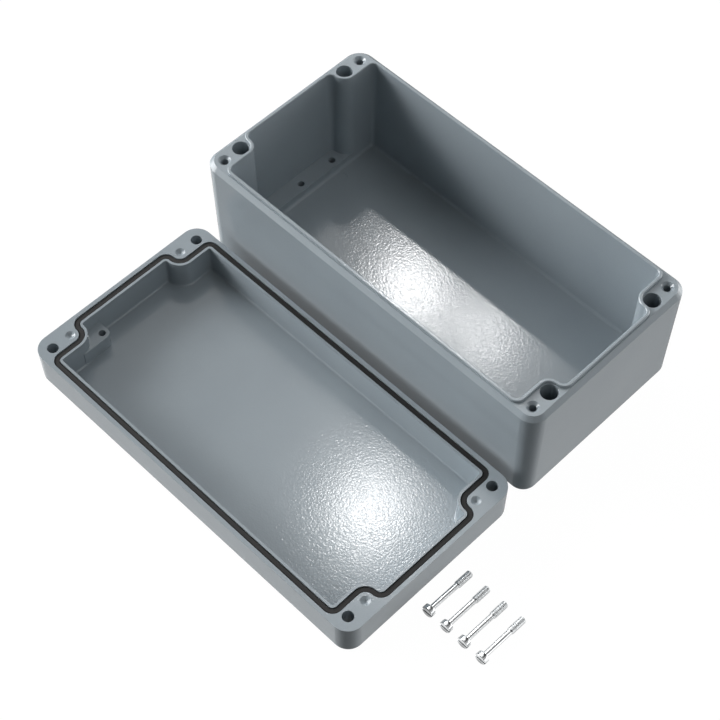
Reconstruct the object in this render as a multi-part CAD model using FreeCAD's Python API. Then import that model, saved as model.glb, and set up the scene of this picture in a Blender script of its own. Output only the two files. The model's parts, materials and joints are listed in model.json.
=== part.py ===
"""Die cast aluminium box, opened: the base stands, the lid lies beside it with its inside up,
and the four lid screws lie in a row next to the lid.

Frame: millimetres, +Z up, X along the box's length. The origin is the middle of the base's
underside, and everything lies on the plane z = 0.
"""
import FreeCAD, Part
import math
import os
from FreeCAD import Vector

# Outer form of base and lid, which share one outline.
box_length = 240.0
box_width = 120.0
base_height = 70.5            # underside to the ledge that the lid's flange meets
lid_height = 22.5             # outer face to the flange
outline_radius = 9.5          # upright corners, at the rim
rim_chamfer = 2.5             # bevel round the base's rim
edge_radius = 2.0             # rounding of the underside and of the lid's outer face
base_draft = 1.1              # degrees, on the walls of the base
lid_draft = 1.3               # degrees, on the walls of the lid

# Seal: a tongue on the base, a groove with a gasket in the lid, both on one seal line.
rim_strip = 2.35              # flange left outside the groove
groove_width = 3.3
groove_depth = 3.6
gasket_sink = 0.5             # gasket's top below the flange
gasket_bevel = 0.6
lip_width = 1.4               # thin wall between groove and lid cavity
tongue_width = 1.8
tongue_height = 1.8
tongue_bevel = 0.35

# Corner bosses: each carries a lid screw at the corner and a mounting hole beside it.
pocket_radius = 1.45          # lid cavity, where a boss runs into the short wall
nook_radius = 1.15            # lid cavity, where a boss meets the long wall
recess_radius = 4.7           # mounting hole, wide part
recess_to_tongue = 0.65
hole_pitch = 12.0             # lid screw axis to mounting hole axis

# Base, inside.
base_floor = 4.5
base_floor_fillet = 1.9
strip_height = 5.3            # raised strip across each end of the floor
strip_hole_inset = 4.6        # from the strip's front edge
strip_hole_pitch = 25.0
strip_hole_count = 3
strip_hole_depth = 7.5
mount_web = 6.0               # floor of the mounting recess
mount_hole_radius = 2.75
pin_mark_radius = 2.4         # ejector pin marks on the floor
pin_mark_depth = 0.25
pin_mark_inset = 7.0          # from the strip's foot
pin_mark_y = 24.0

# Threads, all of one size, cut without their fine helix.
thread_radius = 2.0
thread_depth = 13.0
drill_radius = 1.65
drill_rest = 3.0              # drilled below the thread
drill_point = 118.0           # degrees
sink_radius = 3.5             # countersink at the mouth of the base's screw holes

# Lid, inside and outside.
lid_floor = 4.5
lid_floor_fillet = 1.0
lid_hole_radius = 3.15
head_seat = 5.0               # counterbore depth in the outer face
head_clearance = 0.7
captive_web = 3.0             # web that keeps the screw in the lid
captive_clearance = 0.1
dimple_radius = 2.7           # cone opposite each mounting hole
pad_drop = 8.2                # earth pad's top below the flange
pad_corner = 4.0              # rounded corner, centred on the pad's hole
pad_end_y = -19.5
pad_step = 0.3                # pad's side stands proud of the boss
pad_rounding = 0.5
pad_thread_depth = 8.0

# Lid screws.
screw_head_radius = 3.35
screw_head_height = 3.0
screw_head_bevel = 0.35
screw_slot_width = 1.2
screw_slot_depth = 1.3
screw_length = 29.0           # under the head
screw_thread_length = 10.2
screw_shank_radius = 1.5
screw_tip_chamfer = 0.5
screw_count = 4

# Where the loose pieces lie.
lid_gap = 7.6                 # between the rims of base and lid
lid_shift_x = -0.6
screw_row_gap = 10.9          # lid's end to the first screw's axis
screw_row_pitch = 12.0
screw_heads_y = -143.5

# Worked out from the sizes above.
half_length = box_length / 2
half_width = box_width / 2
groove_half = groove_width / 2
tongue_half = tongue_width / 2
lip_inset = groove_half + lip_width          # seal line to lid cavity
seal_inset = rim_strip + groove_half         # outer face to seal line
seal_x = half_length - seal_inset
seal_y = half_width - seal_inset
blend_radius = pocket_radius + lip_inset     # seal line, boss into short wall
corner_radius = nook_radius + lip_inset      # seal line, boss into long wall
boss_radius = recess_radius + recess_to_tongue + tongue_half
hole_inset = seal_inset + blend_radius
hole_x = half_length - hole_inset            # both holes of a corner
screw_y = half_width - hole_inset
mount_y = screw_y - hole_pitch
boss_x = hole_x - boss_radius                # seal line along a boss
blend_y = mount_y - boss_radius - blend_radius
base_slope = math.tan(math.radians(base_draft))
lid_slope = math.tan(math.radians(lid_draft))
rim_top = base_height + tongue_height
strip_top = base_floor + strip_height
strip_front_x = boss_x - tongue_half - (base_height - strip_top) * base_slope
chamfer_foot = base_height - rim_chamfer
lid_y = -box_width - lid_gap
CORNERS = [(-1, -1), (-1, 1), (1, -1), (1, 1)]
UP = Vector(0, 0, 1)


def arc(centre, radius, start_deg, end_deg):
    """Arc edge in the plane of its centre, counter-clockwise from start to end."""
    circle = Part.Circle(centre, UP, radius)
    return Part.Arc(circle, math.radians(start_deg), math.radians(end_deg)).toShape()


def line(a, b):
    return Part.LineSegment(a, b).toShape()


def mirrored(edges, flip_x, flip_y):
    """Edges of one corner turned into another corner by a half turn or mirrored once."""
    out = []
    for edge in edges:
        copy = edge.copy()
        if flip_x:
            copy = copy.mirror(Vector(0, 0, 0), Vector(1, 0, 0))
        if flip_y:
            copy = copy.mirror(Vector(0, 0, 0), Vector(0, 1, 0))
        out.append(copy)
    return out


def closed_wire(edges):
    return Part.Wire(Part.__sortEdges__(edges))


def outline(inset, z):
    """Rounded rectangle of the box, moved in by inset."""
    x = half_length - inset
    y = half_width - inset
    return rounded_rectangle(x, y, outline_radius - inset, z)


def rounded_rectangle(x, y, radius, z):
    quarter = [arc(Vector(x - radius, y - radius, z), radius, 0, 90)]
    edges = []
    for sx, sy in CORNERS:
        edges += mirrored(quarter, sx < 0, sy < 0)
    for s in (-1, 1):
        edges.append(line(Vector(-(x - radius), s * y, z), Vector(x - radius, s * y, z)))
        edges.append(line(Vector(s * x, -(y - radius), z), Vector(s * x, y - radius, z)))
    return closed_wire(edges)


def seal_contour(offset, z, nook=None):
    """The seal line moved out by offset (in, where negative), at height z.

    It follows the walls, turns into each corner boss, runs round the mounting hole there
    and blends back into the short wall. nook is the radius where boss and long wall meet,
    if it isn't the seal line's own radius moved out.
    """
    if nook is None:
        nook = corner_radius + offset
    wall_x = seal_x + offset
    wall_y = seal_y + offset
    face_x = boss_x + offset
    round_boss = boss_radius - offset
    blend = blend_radius + offset
    quarter = [
        arc(Vector(face_x - nook, wall_y - nook, z), nook, 0, 90),
        line(Vector(face_x, wall_y - nook, z), Vector(face_x, mount_y, z)),
        arc(Vector(hole_x, mount_y, z), round_boss, 180, 270),
        arc(Vector(hole_x, blend_y, z), blend, 0, 90),
    ]
    edges = []
    for sx, sy in CORNERS:
        edges += mirrored(quarter, sx < 0, sy < 0)
    for s in (-1, 1):
        end_x = face_x - nook
        edges.append(line(Vector(-end_x, s * wall_y, z), Vector(end_x, s * wall_y, z)))
        edges.append(line(Vector(s * wall_x, -blend_y, z), Vector(s * wall_x, blend_y, z)))
    return closed_wire(edges)


def between(lower, upper):
    """Solid with straight walls from one closed wire up to another of the same form."""
    return Part.makeLoft([lower, upper], True, True)


def ring(outer, inner, height):
    """Upright wall of the given height between two closed wires at one level."""
    shell = Part.Face(outer).extrude(UP * height)
    return shell.cut(Part.Face(inner).extrude(UP * height))


def edges_at(shape, z):
    """Edges that lie in the plane at height z."""
    found = []
    for edge in shape.Edges:
        box = edge.BoundBox
        if abs(box.ZMin - z) < 1e-4 and abs(box.ZMax - z) < 1e-4:
            found.append(edge)
    return found


def cylinder(radius, x, y, z_low, z_high):
    return Part.makeCylinder(radius, z_high - z_low, Vector(x, y, z_low))


def cone(r_low, r_high, x, y, z_low, z_high):
    return Part.makeCone(r_low, r_high, z_high - z_low, Vector(x, y, z_low))


def drill_cone(radius):
    """Height of a drill point of the given radius."""
    return radius / math.tan(math.radians(drill_point / 2))


def blind_thread(x, y, z_mouth, depth):
    """Tapped hole down from its mouth, with the drilled rest and point below it."""
    bottom = z_mouth - depth
    end = bottom - drill_rest
    hole = cylinder(thread_radius, x, y, bottom, z_mouth)
    hole = hole.fuse(cylinder(drill_radius, x, y, end, bottom))
    return hole.fuse(cone(0.0, drill_radius, x, y, end - drill_cone(drill_radius), end))


def base_shell():
    """Outer form of the base: drafted walls, bevelled rim and rounded underside."""
    inset = chamfer_foot * base_slope
    walls = between(outline(inset, 0.0), outline(0.0, chamfer_foot))
    walls = walls.makeFillet(edge_radius, edges_at(walls, 0.0))
    rim = between(outline(0.0, chamfer_foot), outline(rim_chamfer, base_height))
    return walls.fuse(rim)


def base_tongue():
    """Raised tongue that presses into the lid's gasket."""
    tongue = ring(
        seal_contour(tongue_half, base_height - rim_chamfer),
        seal_contour(-tongue_half, base_height - rim_chamfer),
        rim_chamfer + tongue_height,
    )
    return tongue.makeChamfer(tongue_bevel, edges_at(tongue, rim_top))


def base_cavity():
    """Room inside the base: full contour down to the strips, plain rectangle below them."""
    nook = corner_radius - tongue_half
    strip_inset = (base_height - strip_top) * base_slope
    floor_inset = (base_height - base_floor) * base_slope
    strip_nook = nook - strip_inset
    floor_nook = nook - floor_inset
    at_strip = -tongue_half - strip_inset
    at_floor = -tongue_half - floor_inset
    upper = between(seal_contour(at_strip, strip_top, strip_nook), seal_contour(-tongue_half, base_height))
    above = seal_contour(-tongue_half, base_height)
    upper = upper.fuse(Part.Face(above).extrude(UP * (2 * tongue_height)))
    lower = between(
        rounded_rectangle(boss_x + at_floor, seal_y + at_floor, floor_nook, base_floor),
        rounded_rectangle(boss_x + at_strip, seal_y + at_strip, strip_nook, strip_top),
    )
    lower = lower.makeFillet(base_floor_fillet, edges_at(lower, base_floor))
    return upper.fuse(lower)


def base_holes():
    """Lid screw holes, mounting holes, strip threads and ejector pin marks."""
    cuts = []
    for sx, sy in CORNERS:
        x = sx * hole_x
        y = sy * screw_y
        cuts.append(blind_thread(x, y, base_height, thread_depth))
        sink = sink_radius - thread_radius
        cuts.append(cone(thread_radius, sink_radius, x, y, base_height - sink, base_height))
        y = sy * mount_y
        cuts.append(cylinder(recess_radius, x, y, mount_web, base_height))
        cuts.append(cylinder(mount_hole_radius, x, y, 0.0, mount_web))
    strip_x = strip_front_x + strip_hole_inset
    first_y = -strip_hole_pitch * (strip_hole_count - 1) / 2
    for side in (-1, 1):
        for i in range(strip_hole_count):
            y = first_y + i * strip_hole_pitch
            hole = cylinder(thread_radius, side * strip_x, y, strip_top - strip_hole_depth, strip_top)
            cuts.append(hole)
    mark_x = boss_x - tongue_half - pin_mark_inset
    for sx, sy in CORNERS:
        low = base_floor - pin_mark_depth
        cuts.append(cylinder(pin_mark_radius, sx * mark_x, sy * pin_mark_y, low, base_floor))
    return cuts


def make_base():
    body = base_shell().fuse(base_tongue())
    body = body.cut([base_cavity()] + base_holes())
    return body.removeSplitter()


def make_lid():
    """Lid as it lies: outer face down on z = 0, flange and cavity up."""
    outer_inset = lid_height * lid_slope
    body = between(outline(outer_inset, 0.0), outline(0.0, lid_height))
    body = body.makeFillet(edge_radius, edges_at(body, 0.0))

    depth_inset = (lid_height - lid_floor) * lid_slope
    cavity = between(
        seal_contour(-lip_inset - depth_inset, lid_floor, nook_radius),
        seal_contour(-lip_inset, lid_height),
    )
    cavity = cavity.makeFillet(lid_floor_fillet, edges_at(cavity, lid_floor))
    groove_floor = lid_height - groove_depth
    groove = ring(
        seal_contour(groove_half, groove_floor),
        seal_contour(-groove_half, groove_floor),
        groove_depth,
    )
    cuts = [cavity, groove]
    web_top = head_seat + captive_web
    for sx, sy in CORNERS:
        x = sx * hole_x
        y = sy * screw_y
        cuts.append(cylinder(screw_head_radius + head_clearance, x, y, 0.0, head_seat))
        cuts.append(cylinder(thread_radius + captive_clearance, x, y, head_seat, web_top))
        cuts.append(cylinder(lid_hole_radius, x, y, web_top, lid_height))
        low = lid_height - drill_cone(dimple_radius)
        cuts.append(cone(0.0, dimple_radius, x, sy * mount_y, low, lid_height))
    body = body.cut(cuts)
    return body.fuse(earth_pad()).cut(pad_thread()).removeSplitter()


def pad_hole_place():
    """Axis of the earth pad's thread, the centre of the pad's rounded corner."""
    side_x = boss_x - lip_inset - (lid_height - lid_floor) * lid_slope - pad_step
    return Vector(-side_x - pad_corner, pad_end_y - pad_corner, lid_height - pad_drop), side_x


def earth_pad():
    """Pad between the short wall and one boss, for an earth screw."""
    centre, side_x = pad_hole_place()
    low = lid_floor / 2
    in_wall = -(seal_x - groove_half)
    in_boss = -mount_y
    a = Vector(in_wall, in_boss, low)
    b = Vector(-side_x, in_boss, low)
    c = Vector(-side_x, centre.y, low)
    d = Vector(centre.x, pad_end_y, low)
    e = Vector(in_wall, pad_end_y, low)
    corner = arc(Vector(centre.x, centre.y, low), pad_corner, 0, 90)
    wire = closed_wire([line(a, b), line(b, c), corner, line(d, e), line(e, a)])
    pad = Part.Face(wire).extrude(UP * (centre.z - low))
    return pad.makeFillet(pad_rounding, edges_at(pad, centre.z))


def pad_thread():
    centre = pad_hole_place()[0]
    return cylinder(thread_radius, centre.x, centre.y, centre.z - pad_thread_depth, centre.z)


def make_gasket():
    """Rubber gasket that fills the lid's groove, with bevelled upper edges."""
    low = lid_height - groove_depth
    top = lid_height - gasket_sink
    body = ring(seal_contour(groove_half, low), seal_contour(-groove_half, low), top - low)
    return body.makeChamfer(gasket_bevel, edges_at(body, top))


def make_screw():
    """Captive cheese head screw along +Y: head face at the origin, tip at +Y."""
    head = screw_head_height
    shank_end = head + screw_length - screw_thread_length
    tip = head + screw_length
    points = [
        Vector(screw_head_radius, screw_head_bevel, 0),
        Vector(screw_head_radius, head, 0),
        Vector(screw_shank_radius, head, 0),
        Vector(screw_shank_radius, shank_end, 0),
        Vector(thread_radius, shank_end + thread_radius - screw_shank_radius, 0),
        Vector(thread_radius, tip - screw_tip_chamfer, 0),
        Vector(thread_radius - screw_tip_chamfer, tip, 0),
        Vector(0, tip, 0),
        Vector(0, 0, 0),
        Vector(screw_head_radius - screw_head_bevel, 0, 0),
    ]
    edges = [line(points[i - 1], points[i]) for i in range(len(points))]
    body = Part.Face(Part.Wire(edges)).revolve(Vector(0, 0, 0), Vector(0, 1, 0), 360)
    reach = 2 * screw_head_radius
    slot = Part.makeBox(reach, 2 * screw_slot_depth, screw_slot_width)
    slot.translate(Vector(-reach / 2, -screw_slot_depth, -screw_slot_width / 2))
    return body.cut(slot)


def lay_screw(shape, x):
    """Lays a screw on z = 0, resting on its head's rim and on its thread's end."""
    reach = screw_length - screw_tip_chamfer
    tilt = math.atan2(screw_head_radius - thread_radius, reach)
    rest_height = screw_head_height * math.sin(tilt) + screw_head_radius * math.cos(tilt)
    placed = shape.copy()
    placed.rotate(Vector(0, 0, 0), Vector(1, 0, 0), -math.degrees(tilt))
    placed.translate(Vector(x, screw_heads_y, rest_height))
    return placed


def export(name, shape):
    solids = shape.Solids
    assert shape.isValid() and len(solids) == 1, name
    solids[0].exportStep("parts/%s.step" % name)
    box = shape.BoundBox
    sizes = (box.XLength, box.YLength, box.ZLength, shape.Volume / 1000)
    print("%-12s %6.1f x %6.1f x %5.1f mm, %7.2f cm3" % ((name,) + sizes))


os.makedirs("parts", exist_ok=True)
lid_place = Vector(lid_shift_x, lid_y, 0)
export("base", make_base())
lid = make_lid()
lid.translate(lid_place)
export("lid", lid)
gasket = make_gasket()
gasket.translate(lid_place)
export("gasket", gasket)
screw = make_screw()
first_x = lid_shift_x + half_length + screw_row_gap
for number in range(screw_count):
    export("lid_screw_%d" % (number + 1), lay_screw(screw, first_x + number * screw_row_pitch))
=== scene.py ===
# %% [markdown]
# # Die cast aluminium box, opened
#
# The object is an industrial enclosure as it comes out of its carton: the base stands open,
# the lid lies beside it with its gasket up, and the four lid screws lie in a row. This file
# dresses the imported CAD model: it adds what CAD leaves out, the finishes and the threads of
# the screws, and sets up a plain studio round them. Lengths are metres, as Blender has them,
# and where a size is a drawing's millimetre it is multiplied by MM.

# %% The frame
import json
import math

import bpy
import numpy as np
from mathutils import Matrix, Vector

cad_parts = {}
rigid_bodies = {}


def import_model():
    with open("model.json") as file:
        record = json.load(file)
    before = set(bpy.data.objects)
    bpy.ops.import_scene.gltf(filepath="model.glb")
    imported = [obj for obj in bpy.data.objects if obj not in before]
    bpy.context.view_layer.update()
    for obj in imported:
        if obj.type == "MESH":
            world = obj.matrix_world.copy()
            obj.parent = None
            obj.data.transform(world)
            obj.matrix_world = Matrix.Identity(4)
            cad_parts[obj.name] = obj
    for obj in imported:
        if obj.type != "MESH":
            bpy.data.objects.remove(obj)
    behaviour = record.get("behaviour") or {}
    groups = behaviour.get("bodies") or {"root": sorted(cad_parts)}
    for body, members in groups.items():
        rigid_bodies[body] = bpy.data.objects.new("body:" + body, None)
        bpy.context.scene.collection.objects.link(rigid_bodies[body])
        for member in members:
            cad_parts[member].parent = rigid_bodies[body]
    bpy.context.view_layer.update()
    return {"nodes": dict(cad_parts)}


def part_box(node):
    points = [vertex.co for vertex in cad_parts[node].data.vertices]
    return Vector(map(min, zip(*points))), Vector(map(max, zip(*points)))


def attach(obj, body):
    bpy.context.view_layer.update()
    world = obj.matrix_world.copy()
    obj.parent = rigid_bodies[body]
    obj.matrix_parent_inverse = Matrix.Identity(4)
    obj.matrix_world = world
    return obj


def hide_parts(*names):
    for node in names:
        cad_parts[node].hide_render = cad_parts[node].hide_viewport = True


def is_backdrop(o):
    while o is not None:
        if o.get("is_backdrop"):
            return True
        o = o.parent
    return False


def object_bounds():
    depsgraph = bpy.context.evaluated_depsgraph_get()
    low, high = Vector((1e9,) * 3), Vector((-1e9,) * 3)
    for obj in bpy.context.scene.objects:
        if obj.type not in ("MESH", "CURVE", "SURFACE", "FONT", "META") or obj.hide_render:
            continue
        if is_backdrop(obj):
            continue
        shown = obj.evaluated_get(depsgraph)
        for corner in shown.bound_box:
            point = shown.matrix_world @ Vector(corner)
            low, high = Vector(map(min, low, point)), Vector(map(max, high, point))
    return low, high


for leftover in list(bpy.data.objects):
    bpy.data.objects.remove(leftover)
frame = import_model()
nodes = frame["nodes"]
MM = 0.001
print("CAD nodes:", ", ".join(sorted(nodes)))

# %% [markdown]
# ## Two helpers for every material
#
# A colour is written as the hex value that a paint chart or a picture editor shows. Blender
# reckons in linear light, so one function takes the sRGB curve out of it. The other function
# adds one shader node: its settings go in as keywords, and each input takes a value or
# another node's output, so a material reads from top to bottom as its light path does.

# %% Colour and node helpers
def paint(hex_colour):
    """sRGB hex to linear RGBA: each channel c becomes ((c + 0.055) / 1.055) to the 2.4."""
    srgb = np.array([int(hex_colour[i:i + 2], 16) for i in (1, 3, 5)]) / 255
    low, high = srgb / 12.92, ((srgb + 0.055) / 1.055) ** 2.4
    return (*np.where(srgb <= 0.04045, low, high).tolist(), 1.0)


def node(tree, kind, inputs=None, **settings):
    """Adds one node with its settings, and gives each input a value or a link."""
    made = tree.nodes.new(kind)
    for name, value in settings.items():
        setattr(made, name, value)
    for name, value in (inputs or {}).items():
        if isinstance(value, bpy.types.NodeSocket):
            tree.links.new(value, made.inputs[name])
        else:
            made.inputs[name].default_value = value
    return made


def empty_material(name):
    """A material with an output node only, and its tree."""
    material = bpy.data.materials.new(name)
    material.use_nodes = True
    material.node_tree.nodes.clear()
    return material, material.node_tree


print("silver grey as linear light:", [round(c, 3) for c in paint("#8C969D")[:3]])

# %% [markdown]
# ## Powder coat on die cast aluminium
#
# Base and lid are cast, blasted and powder coated in silver grey. Baked powder flows out to a
# gloss skin that keeps a shallow orange peel, waves of about a millimetre, and the skin rounds
# every edge a little. A single grey would look like a drawing, so three things are layered:
# a broad drift in tone where the coat is thicker, a fine grain of aluminium flake, and the
# orange peel as a bump, which shows where a lamp is mirrored and nearly vanishes elsewhere.

# %% Powder coated aluminium
PEEL_WAVE = 0.98 * MM
PEEL_DEPTH = 0.022 * MM
FLAKE = 0.35 * MM
DRIFT = 45 * MM
SKIN_EDGE = 0.15 * MM

coat, tree = empty_material("powder_coated_aluminium")
place = node(tree, "ShaderNodeTexCoord").outputs["Object"]
drift = node(tree, "ShaderNodeTexNoise", {"Vector": place, "Scale": 1 / DRIFT, "Detail": 3.0})
flake = node(tree, "ShaderNodeTexNoise", {"Vector": place, "Scale": 1 / FLAKE, "Detail": 1.0})
tone = node(tree, "ShaderNodeMix", {
    "Factor": drift.outputs["Fac"], "A": paint("#929CA3"), "B": paint("#9FA9AF"),
}, data_type="RGBA")
speckle = node(tree, "ShaderNodeMapRange", {
    "Value": flake.outputs["Fac"], "From Min": 0.3, "From Max": 0.7, "To Min": 0.0, "To Max": 0.10,
})
colour = node(tree, "ShaderNodeMix", {
    "Factor": speckle.outputs["Result"], "A": tone.outputs["Result"], "B": paint("#B9C2C8"),
}, data_type="RGBA")
waves = node(tree, "ShaderNodeTexNoise", {
    "Vector": place, "Scale": 1 / PEEL_WAVE, "Detail": 1.5, "Roughness": 0.45,
})
skin = node(tree, "ShaderNodeBevel", {"Radius": SKIN_EDGE}, samples=4)
peel = node(tree, "ShaderNodeBump", {
    "Height": waves.outputs["Fac"], "Distance": PEEL_DEPTH, "Strength": 1.0,
    "Normal": skin.outputs["Normal"],
})
gloss = node(tree, "ShaderNodeMapRange", {
    "Value": drift.outputs["Fac"], "To Min": 0.09, "To Max": 0.11,
})
surface = node(tree, "ShaderNodeBsdfPrincipled", {
    "Base Color": colour.outputs["Result"], "Roughness": gloss.outputs["Result"],
    "IOR": 1.5, "Normal": peel.outputs["Normal"],
})
node(tree, "ShaderNodeOutputMaterial", {"Surface": surface.outputs["BSDF"]})
for name in ("base", "lid"):
    nodes[name].material_slots[0].material = coat
print("orange peel: waves of", PEEL_WAVE / MM, "mm,", PEEL_DEPTH / MM, "mm deep")

# %% [markdown]
# ## Rubber gasket
#
# The gasket is a moulded chloroprene cord in the lid's groove. Such rubber is soft black with
# a faint brown cast and a satin skin, and its pores are far finer than a pixel. They are drawn
# at a third of a millimetre, coarse enough to break up the reflection along the ring.

# %% Chloroprene rubber
PORE = 0.33 * MM
PORE_DEPTH = 0.03 * MM
BLOOMS_PER_METRE = 60.0

rubber, tree = empty_material("chloroprene_rubber")
place = node(tree, "ShaderNodeTexCoord").outputs["Object"]
pores = node(tree, "ShaderNodeTexNoise", {"Vector": place, "Scale": 1 / PORE, "Detail": 2.0})
bloom = node(tree, "ShaderNodeTexNoise", {"Vector": place, "Scale": BLOOMS_PER_METRE, "Detail": 3.0})
colour = node(tree, "ShaderNodeMix", {
    "Factor": bloom.outputs["Fac"], "A": paint("#121110"), "B": paint("#1B1918"),
}, data_type="RGBA")
dimples = node(tree, "ShaderNodeBump", {
    "Height": pores.outputs["Fac"], "Distance": PORE_DEPTH, "Strength": 0.6,
})
surface = node(tree, "ShaderNodeBsdfPrincipled", {
    "Base Color": colour.outputs["Result"], "Roughness": 0.55, "IOR": 1.52,
    "Normal": dimples.outputs["Normal"],
})
node(tree, "ShaderNodeOutputMaterial", {"Surface": surface.outputs["BSDF"]})
nodes["gasket"].material_slots[0].material = rubber
print("rubber on the gasket")

# %% [markdown]
# ## Grid surfaces
#
# The screws are the pieces that CAD leaves plain. A screw is nothing but a surface of two
# parameters, the angle round its axis and the way along it, so numpy works out all its points
# at once. Each patch is a grid of points. Where grids meet, their edge points fall together,
# and merging them closes the skin.

# %% From grids of points to one closed mesh
SAME_POINT = 0.001 * MM
SHARP_ABOVE = math.radians(38)


def grid_faces(rows, columns, first, wrap):
    """Quads between neighbouring rows and columns; wrap joins the last column to the first."""
    index = first + np.arange(rows * columns).reshape(rows, columns)
    if wrap:
        index = np.concatenate([index, index[:, :1]], axis=1)
    corners = [index[:-1, :-1], index[:-1, 1:], index[1:, 1:], index[1:, :-1]]
    return np.stack(corners, axis=-1).reshape(-1, 4)


def closed_mesh(name, grids):
    """Joins grids of points, merges points that coincide and drops faces that shrink to none."""
    points, quads, first = [], [], 0
    for grid, wrap in grids:
        rows, columns = grid.shape[:2]
        points.append(grid.reshape(-1, 3))
        quads.append(grid_faces(rows, columns, first, wrap))
        first += rows * columns
    points, quads = np.concatenate(points), np.concatenate(quads)
    keys, kept, merged = np.unique(
        np.round(points / SAME_POINT), axis=0, return_index=True, return_inverse=True)
    quads = merged.reshape(-1)[quads]
    faces = []
    for quad in quads.tolist():
        ring = [v for i, v in enumerate(quad) if v != quad[i - 1]]
        if len(set(ring)) >= 3:
            faces.append(ring)
    mesh = bpy.data.meshes.new(name)
    mesh.from_pydata(points[kept].tolist(), [], faces)
    mesh.validate()
    mesh.shade_smooth()
    mesh.set_sharp_from_angle(angle=SHARP_ABOVE)
    made = bpy.data.objects.new(name, mesh)
    bpy.context.scene.collection.objects.link(made)
    return made


# %% [markdown]
# ## Lid screws
#
# A captive cheese head screw: slotted head, a shank turned down so that the lid keeps it, and
# an M4 thread only at the tip. The face of the head is a disc cut by the slot. Its columns run
# along the slot, and two of them stand at each slot wall, one above and one below, so the wall
# is sharp. The rim of that disc gives the angles for the skin behind it, which runs down the
# head, the shank and the thread to the tip as one profile turned round the axis. The thread is
# that same profile with its radius waving once per pitch, shifted by one pitch in each turn.
# UNDERSIDE is the profile from the head's edge over its bearing face into the shank: how far
# past the bearing face a point lies, and its radius.

# %% Sizes of a lid screw, as on its drawing
HEAD_RADIUS = 3.35
HEAD_HEIGHT = 3.0
HEAD_ROUNDING = 0.35
SLOT_WIDTH = 1.2
SLOT_DEPTH = 1.3
SLOT_DRAFT = 0.03
SLOT_LIP = 0.1
SLOT_LIP_DEPTH = 0.06
SHANK_RADIUS = 1.5
SCREW_LENGTH = 29.0
THREAD_LENGTH = 10.2
THREAD_RADIUS = 2.0
THREAD_DEPTH = 0.43
THREAD_PITCH = 0.7
FLANK_SLOPE = 2.6
FLANK_START = 0.35
ROWS_PER_TURN = 12
TIP_CHAMFER = 0.5
TIP_FLAT = 0.9
UNDERSIDE = ((-0.04, HEAD_RADIUS - 0.04), (0, HEAD_RADIUS - 0.15), (0, 2.6), (0, 1.85),
             (0.04, 1.66), (0.15, 1.54), (0.35, SHANK_RADIUS))
UNDERSIDE_STARTS = 0.12
tip_at = HEAD_HEIGHT + SCREW_LENGTH
thread_at = tip_at - THREAD_LENGTH
print("M4 thread of", round(THREAD_LENGTH / THREAD_PITCH, 1), "turns")


# %% The face of the head
def slot_columns(half_steps):
    """Angles from -90 to 90 degrees across the slot, and how deep each column lies."""
    wall = math.asin(SLOT_WIDTH / 2 / HEAD_RADIUS)
    foot = math.asin((SLOT_WIDTH / 2 - SLOT_DRAFT) / HEAD_RADIUS)
    lip = math.asin((SLOT_WIDTH / 2 + SLOT_LIP) / HEAD_RADIUS)
    outer = np.linspace(math.pi / 2, lip, half_steps)
    half = np.concatenate([outer, [wall, foot]])
    depth = np.concatenate([np.zeros(half_steps), [SLOT_LIP_DEPTH, SLOT_DEPTH]])
    return np.concatenate([-half, half[::-1]]), np.concatenate([depth, depth[::-1]])


def head_face(angles, depth, steps):
    """Disc as columns: across = R sin(angle), along = R cos(angle) sin(turn).

    It drops by the rim's quarter round near the edge, or to the slot's floor.
    """
    turn = np.linspace(-math.pi / 2, math.pi / 2, steps)
    across = HEAD_RADIUS * np.sin(angles)[:, None] + 0 * turn
    along = HEAD_RADIUS * np.cos(angles)[:, None] * np.sin(turn)
    beyond = np.clip(np.hypot(across, along) - (HEAD_RADIUS - HEAD_ROUNDING), 0, HEAD_ROUNDING)
    rim = HEAD_ROUNDING - np.sqrt(HEAD_ROUNDING ** 2 - beyond ** 2)
    return np.stack([along, np.maximum(rim, depth[:, None]), across], axis=-1)


# %% The turned skin behind it
def thread_radius(way, angle):
    """Crest radius less the thread's depth times a flattened saw of way / pitch - angle / turn."""
    phase = (way / THREAD_PITCH - angle / (2 * math.pi)) % 1
    flank = np.clip(np.abs(phase - 0.5) * FLANK_SLOPE - FLANK_START, 0, 1)
    radius = THREAD_RADIUS - THREAD_DEPTH * flank
    run_in = SHANK_RADIUS + np.clip(way - thread_at, 0, None)
    run_out = THREAD_RADIUS - TIP_CHAMFER + np.clip(tip_at - way, 0, None)
    return np.minimum(np.minimum(radius, run_in), run_out)


def turned_skin(angle, rim_depth):
    """Rows down the screw: each is (way, radius) at every angle of the rim.

    A point is (radius cos(angle), way, radius sin(angle)).
    """
    level = HEAD_HEIGHT - UNDERSIDE_STARTS
    rows = [(rim_depth + s * (level - rim_depth), HEAD_RADIUS + 0 * angle) for s in (0, 0.5, 1)]
    outline = [(HEAD_HEIGHT + way, radius) for way, radius in UNDERSIDE]
    outline += [(way, SHANK_RADIUS) for way in np.linspace(HEAD_HEIGHT + 1, thread_at, 9)]
    rows += [(way + 0 * angle, radius + 0 * angle) for way, radius in outline]
    thread_rows = int(THREAD_LENGTH / THREAD_PITCH * ROWS_PER_TURN)
    for way in np.linspace(thread_at, tip_at, thread_rows)[1:]:
        rows.append((way + 0 * angle, thread_radius(way, angle)))
    rows += [(tip_at + 0 * angle, r + 0 * angle) for r in (TIP_FLAT, 0.0)]
    way, radius = (np.array(part) for part in zip(*rows))
    return np.stack([radius * np.cos(angle), way, radius * np.sin(angle)], axis=-1)


def screw_grids():
    """Face and skin of one screw, head face at the origin and tip towards +Y."""
    angles, depth = slot_columns(half_steps=16)
    face = head_face(angles, depth, steps=33)
    rim = np.concatenate([angles, math.pi - angles[-2:0:-1]])
    rim_depth = np.concatenate([face[:, -1, 1], face[-2:0:-1, 0, 1]])
    return face, turned_skin(rim, rim_depth)


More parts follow.
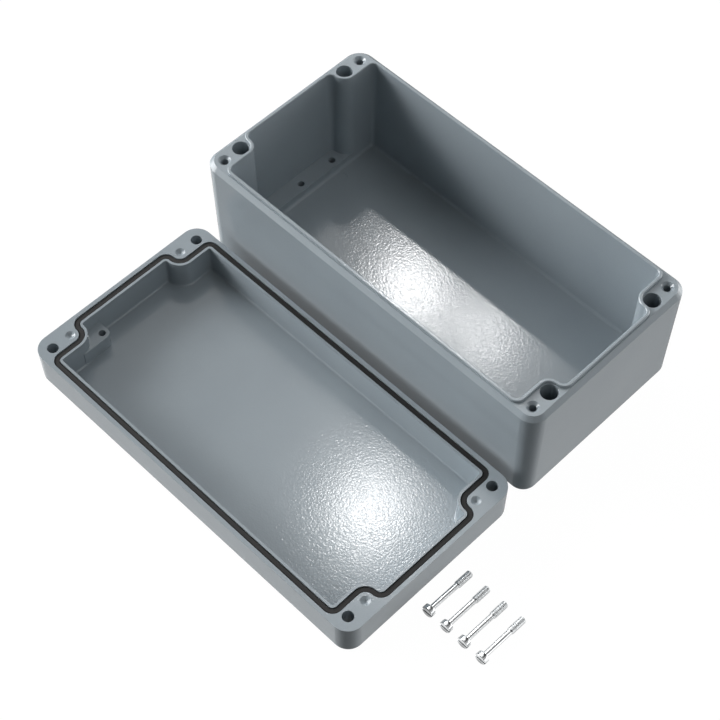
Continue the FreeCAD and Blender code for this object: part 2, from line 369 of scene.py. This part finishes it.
face, skin_rows = screw_grids()
print("one screw: face", face.shape[:2], "skin", skin_rows.shape[:2])

# %% [markdown]
# ## How the screws lie
#
# A screw on a table rests on the rim of its head and on the end of its thread, so its axis
# dips towards the tip by the angle whose tangent is the difference of the two radii over the
# length between them. The points themselves are turned and moved, and the objects stay at the
# origin like the CAD nodes.

# %% Laying the screws where the CAD has them
HEADS_Y = -143.5
reach = SCREW_LENGTH - TIP_CHAMFER
tilt = math.atan2(HEAD_RADIUS - THREAD_RADIUS, reach)
rest_height = HEAD_HEIGHT * math.sin(tilt) + HEAD_RADIUS * math.cos(tilt)


def laid(grid, x):
    """Turns points about X by the tilt, tip down, and moves them to their place in metres."""
    px, py, pz = np.moveaxis(grid, -1, 0)
    dip_y = py * math.cos(tilt) + pz * math.sin(tilt)
    dip_z = pz * math.cos(tilt) - py * math.sin(tilt)
    return np.stack([px + x, dip_y + HEADS_Y, dip_z + rest_height], axis=-1) * MM


screws = []
for number in range(1, 5):
    cad_name = "lid_screw_%d" % number
    low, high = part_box(cad_name)
    middle = (low.x + high.x) / 2 / MM
    grids = [(laid(face, middle), False), (laid(skin_rows, middle), True)]
    screw = closed_mesh("threaded_screw_%d" % number, grids)
    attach(screw, "root")
    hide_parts(cad_name)
    screws.append(screw)
print("screws laid, dip", round(math.degrees(tilt), 2), "degrees")

# %% [markdown]
# ## Stainless steel
#
# The screws are polished stainless steel. A metal has no colour of its own under the surface:
# all that the eye gets is the mirrored room. Turning leaves rings round the axis, so a faint
# bump runs along Y, stretched round the screw, and handling leaves smudges that are a little
# duller, which a slow noise in the roughness gives. The rolled thread isn't polished after it
# is rolled, so it is duller than the shank: all four threads start at the same Y.

# %% Polished stainless steel
TURNING_MARK = 0.25 * MM
TURNING_DEPTH = 0.0015 * MM
SMUDGE = 4 * MM
THREAD_DULLNESS = 0.10
DULLNESS_BLEND = 0.2

steel, tree = empty_material("polished_stainless_steel")
place = node(tree, "ShaderNodeTexCoord").outputs["Object"]
stretched = node(tree, "ShaderNodeMapping", {"Vector": place, "Scale": (0.15, 1.0, 0.15)})
marks = node(tree, "ShaderNodeTexNoise", {
    "Vector": stretched.outputs["Vector"], "Scale": 1 / TURNING_MARK, "Detail": 2.0,
})
smudge = node(tree, "ShaderNodeTexNoise", {"Vector": place, "Scale": 1 / SMUDGE, "Detail": 3.0})
rings = node(tree, "ShaderNodeBump", {
    "Height": marks.outputs["Fac"], "Distance": TURNING_DEPTH, "Strength": 0.15,
})
gloss = node(tree, "ShaderNodeMapRange", {
    "Value": smudge.outputs["Fac"], "To Min": 0.14, "To Max": 0.20,
})
way_along = node(tree, "ShaderNodeSeparateXYZ", {"Vector": place})
thread_y = HEADS_Y + SCREW_LENGTH - THREAD_LENGTH
rolled = node(tree, "ShaderNodeMapRange", {
    "Value": way_along.outputs["Y"], "From Min": (thread_y - DULLNESS_BLEND) * MM,
    "From Max": (thread_y + DULLNESS_BLEND) * MM, "To Max": THREAD_DULLNESS,
})
dull = node(tree, "ShaderNodeMath", {0: gloss.outputs["Result"], 1: rolled.outputs["Result"]},
            operation="ADD")
surface = node(tree, "ShaderNodeBsdfPrincipled", {
    "Base Color": paint("#F2F4F5"), "Metallic": 1.0, "Roughness": dull.outputs["Value"],
    "Normal": rings.outputs["Normal"],
})
node(tree, "ShaderNodeOutputMaterial", {"Surface": surface.outputs["BSDF"]})
for screw in screws:
    screw.data.materials.append(steel)
print("steel on", len(screws), "screws")

# %% [markdown]
# ## Floor and room
#
# Catalogue pictures stand the object on plain white. Of what the camera sees, SEEN_SHARE is an even
# light of SEEN_WHITE and the rest is the table with its shadows. Together they are just full white
# in the open, and a trace of the shadow is left. Round the screws, mirrors see white too, because
# polished steel shows nothing but its surroundings, and without it the steel would look black. Right
# under a screw that white is darkened by a painted shadow: ambient occlusion over a few millimetres,
# raised to a power, sets its strength. The coated walls mirror the room below the table instead,
# which is darker in front: the object keeps the soft dark line at its upright corners that way.
# SHEET_AT is the middle of the white round the screws, which is full up to SHEET_WHITE from there
# and gone at SHEET_END.

# %% White floor
SHEET_AT = (162.0, -132.0)
SHEET_WHITE = 30.0
SHEET_END = 38.0
PAINTED_SHADOW_REACH = 4.0
PAINTED_SHADOW_POWER = 2.5
FLOOR_HALF = 6.0
SEEN_SHARE = 0.95
SEEN_WHITE = 1.035


def floor_grid(half):
    """Flat grid: x and y run from -half to half."""
    x, y = np.meshgrid(np.linspace(-half, half, 3), np.linspace(-half, half, 3), indexing="ij")
    return np.stack([x, y, 0 * x], axis=-1)


white, tree = empty_material("white_table")
path = node(tree, "ShaderNodeLightPath")
place = node(tree, "ShaderNodeTexCoord").outputs["Object"]
off = node(tree, "ShaderNodeVectorMath", {
    0: place, 1: (SHEET_AT[0] * MM, SHEET_AT[1] * MM, 0.0),
}, operation="DISTANCE")
sheet = node(tree, "ShaderNodeMapRange", {
    "Value": off.outputs["Value"], "From Min": SHEET_END * MM, "From Max": SHEET_WHITE * MM,
})
table = node(tree, "ShaderNodeBsdfDiffuse", {"Color": paint("#D8DADB")})
clear = node(tree, "ShaderNodeBsdfTransparent")
# Painted shadow: ambient occlusion dims the mirrored white right under each screw.
contact = node(tree, "ShaderNodeAmbientOcclusion", {"Distance": PAINTED_SHADOW_REACH * MM}, samples=8)
deep = node(tree, "ShaderNodeMath", {0: contact.outputs["AO"], 1: PAINTED_SHADOW_POWER},
            operation="POWER")
painted_shadow_white = node(tree, "ShaderNodeEmission", {"Strength": deep.outputs["Value"]})
lit = node(tree, "ShaderNodeEmission", {"Strength": SEEN_WHITE})
share = node(tree, "ShaderNodeMath", {0: path.outputs["Is Camera Ray"], 1: SEEN_SHARE},
             operation="MULTIPLY")
seen = node(tree, "ShaderNodeMixShader", {
    0: share.outputs["Value"], 1: table.outputs["BSDF"], 2: lit.outputs["Emission"],
})
mirrored = node(tree, "ShaderNodeMixShader", {
    0: sheet.outputs["Result"], 1: clear.outputs["BSDF"], 2: painted_shadow_white.outputs["Emission"],
})
either = node(tree, "ShaderNodeMixShader", {
    0: path.outputs["Is Glossy Ray"], 1: seen.outputs["Shader"], 2: mirrored.outputs["Shader"],
})
node(tree, "ShaderNodeOutputMaterial", {"Surface": either.outputs["Shader"]})
floor = closed_mesh("floor", [(floor_grid(FLOOR_HALF), False)])
floor.data.materials.append(white)
floor.visible_diffuse = False
floor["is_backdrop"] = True

# %% [markdown]
# ## The room's windows
#
# A gloss grey surface shows its shape through what it mirrors, so the room isn't one even
# white. It is dark on the camera's side, which draws the soft dark line down the upright
# corner. The main window stands low on the left and in front, a broad pale wall lies behind,
# and a skylight is high above. Each is a soft oval glow: its brightness falls to half at
# half_width to the side and at half_height up and down.

# %% Room
room = bpy.data.worlds.new("room")
bpy.context.scene.world = room
room.use_nodes = True
tree = room.node_tree
tree.nodes.clear()
way = node(tree, "ShaderNodeTexCoord").outputs["Generated"]


def reckon(operation, *values):
    """One Math node over values or sockets."""
    made = node(tree, "ShaderNodeMath", dict(enumerate(values)), operation=operation)
    return made.outputs["Value"]


def along(direction):
    """Cosine between the ray and a direction."""
    made = node(tree, "ShaderNodeVectorMath", {0: way, 1: direction}, operation="DOT_PRODUCT")
    return made.outputs["Value"]


def window(heading, height, half_width, half_height, strength):
    """strength * front * e^(-w side^2 - h up^2), with w and h so that it halves at the edge.

    Angles are degrees, heading from +X towards +Y.
    """
    a, e = math.radians(heading), math.radians(height)
    front = Vector((math.cos(e) * math.cos(a), math.cos(e) * math.sin(a), math.sin(e)))
    side = Vector((-math.sin(a), math.cos(a), 0))
    up = front.cross(side)
    w = math.log(2) / math.sin(math.radians(half_width)) ** 2
    h = math.log(2) / math.sin(math.radians(half_height)) ** 2
    aside, above = along(side), along(up)
    power = reckon("MULTIPLY_ADD", reckon("MULTIPLY", aside, aside), -w,
                   reckon("MULTIPLY", reckon("MULTIPLY", above, above), -h))
    level = reckon("MULTIPLY", reckon("MAXIMUM", along(front), 0.0), strength)
    return reckon("MULTIPLY", level, reckon("EXPONENT", power))


glows = (window(-146, 23, 10, 5, 16.3), window(-163, 12, 27, 14, 7.25),
         window(-165, 16, 24, 11, 3.2), window(62, -3, 39, 15, 5.0),
         window(0, 42, 32, 8, 0.68), window(135, 36, 23, 5, 1.0),
         window(141, 42, 18, 6, 1.1), window(67, 73, 50, 7, 1.7),
         window(133, 57, 16, 7, 0.45),
         window(-179, -66, 19, 26, 1.1), window(56, -57, 24, 29, 0.54))
total = glows[0]
for glow in glows[1:]:
    total = reckon("ADD", total, glow)
path = node(tree, "ShaderNodeLightPath")
strength = node(tree, "ShaderNodeMix", {
    "Factor": path.outputs["Is Camera Ray"], "A": total, "B": 1.0,
}, data_type="FLOAT")
backdrop = node(tree, "ShaderNodeBackground", {
    "Color": (1.0, 1.0, 1.0, 1.0), "Strength": strength.outputs["Result"],
})
node(tree, "ShaderNodeOutputWorld", {"Surface": backdrop.outputs["Background"]})
print("room with", len(glows), "windows")

# %% [markdown]
# ## Lamps
#
# Three small lamps stand high behind the box. Each is mirrored in a floor and gives one of the
# bright patches, so it is set by the direction in which the camera's view leaves that patch.

# %% Lamps
LAMP_DISTANCE = 12.0
LAMP_SIZE = 0.3


def lamp(name, aim, direction, power):
    """Round lamp at aim + LAMP_DISTANCE times direction, turned to face aim."""
    way = Vector(direction).normalized()
    data = bpy.data.lights.new(name, "AREA")
    data.shape = "DISK"
    data.size = LAMP_SIZE
    data.energy = power
    made = bpy.data.objects.new(name, data)
    made.location = Vector(aim) * MM + way * LAMP_DISTANCE
    made.rotation_mode = "QUATERNION"
    made.rotation_quaternion = (-way).to_track_quat("-Z", "Y")
    bpy.context.scene.collection.objects.link(made)


lamp("lid_lamp", (71, -122, 4.5), (-0.343, 0.351, 0.871), 24.0)
lamp("base_lamp", (-13, -7, 4.5), (-0.399, 0.438, 0.806), 25.8)
lamp("second_lamp", (38, -2, 4.5), (-0.355, 0.451, 0.819), 14.6)
print("lamps set")

# %% [markdown]
# ## Camera
#
# The camera stands in front of one corner and looks down steeply. Its place and lens were worked out
# from the holes and outlines of the photograph.

# %% Camera
CAMERA_AT = (394.0, -454.4, 827.2)
AZIMUTH, ELEVATION = math.radians(44.96), math.radians(55.90)
LENS = 91.62

view = bpy.data.cameras.new("camera")
view.sensor_width = 36.0
view.lens = LENS
view.clip_start, view.clip_end = 0.05, 50.0
camera = bpy.data.objects.new("camera", view)
bpy.context.scene.collection.objects.link(camera)
camera.location = Vector(CAMERA_AT) * MM
back = Vector((math.sin(AZIMUTH) * math.cos(ELEVATION),
               -math.cos(AZIMUTH) * math.cos(ELEVATION), math.sin(ELEVATION)))
camera.rotation_mode = "QUATERNION"
camera.rotation_quaternion = (-back).to_track_quat("-Z", "Y")
bpy.context.scene.camera = camera
bpy.context.scene.view_settings.view_transform = "Standard"
print("camera", [round(c, 3) for c in camera.location])

# %% [markdown]
# ## Size
#
# The dressed object has to keep the CAD model's box. The box round the dressed object is printed.

# %% Size of the dressed object
low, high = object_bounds()
print("visual box", [round(c, 4) for c in low], [round(c, 4) for c in high])
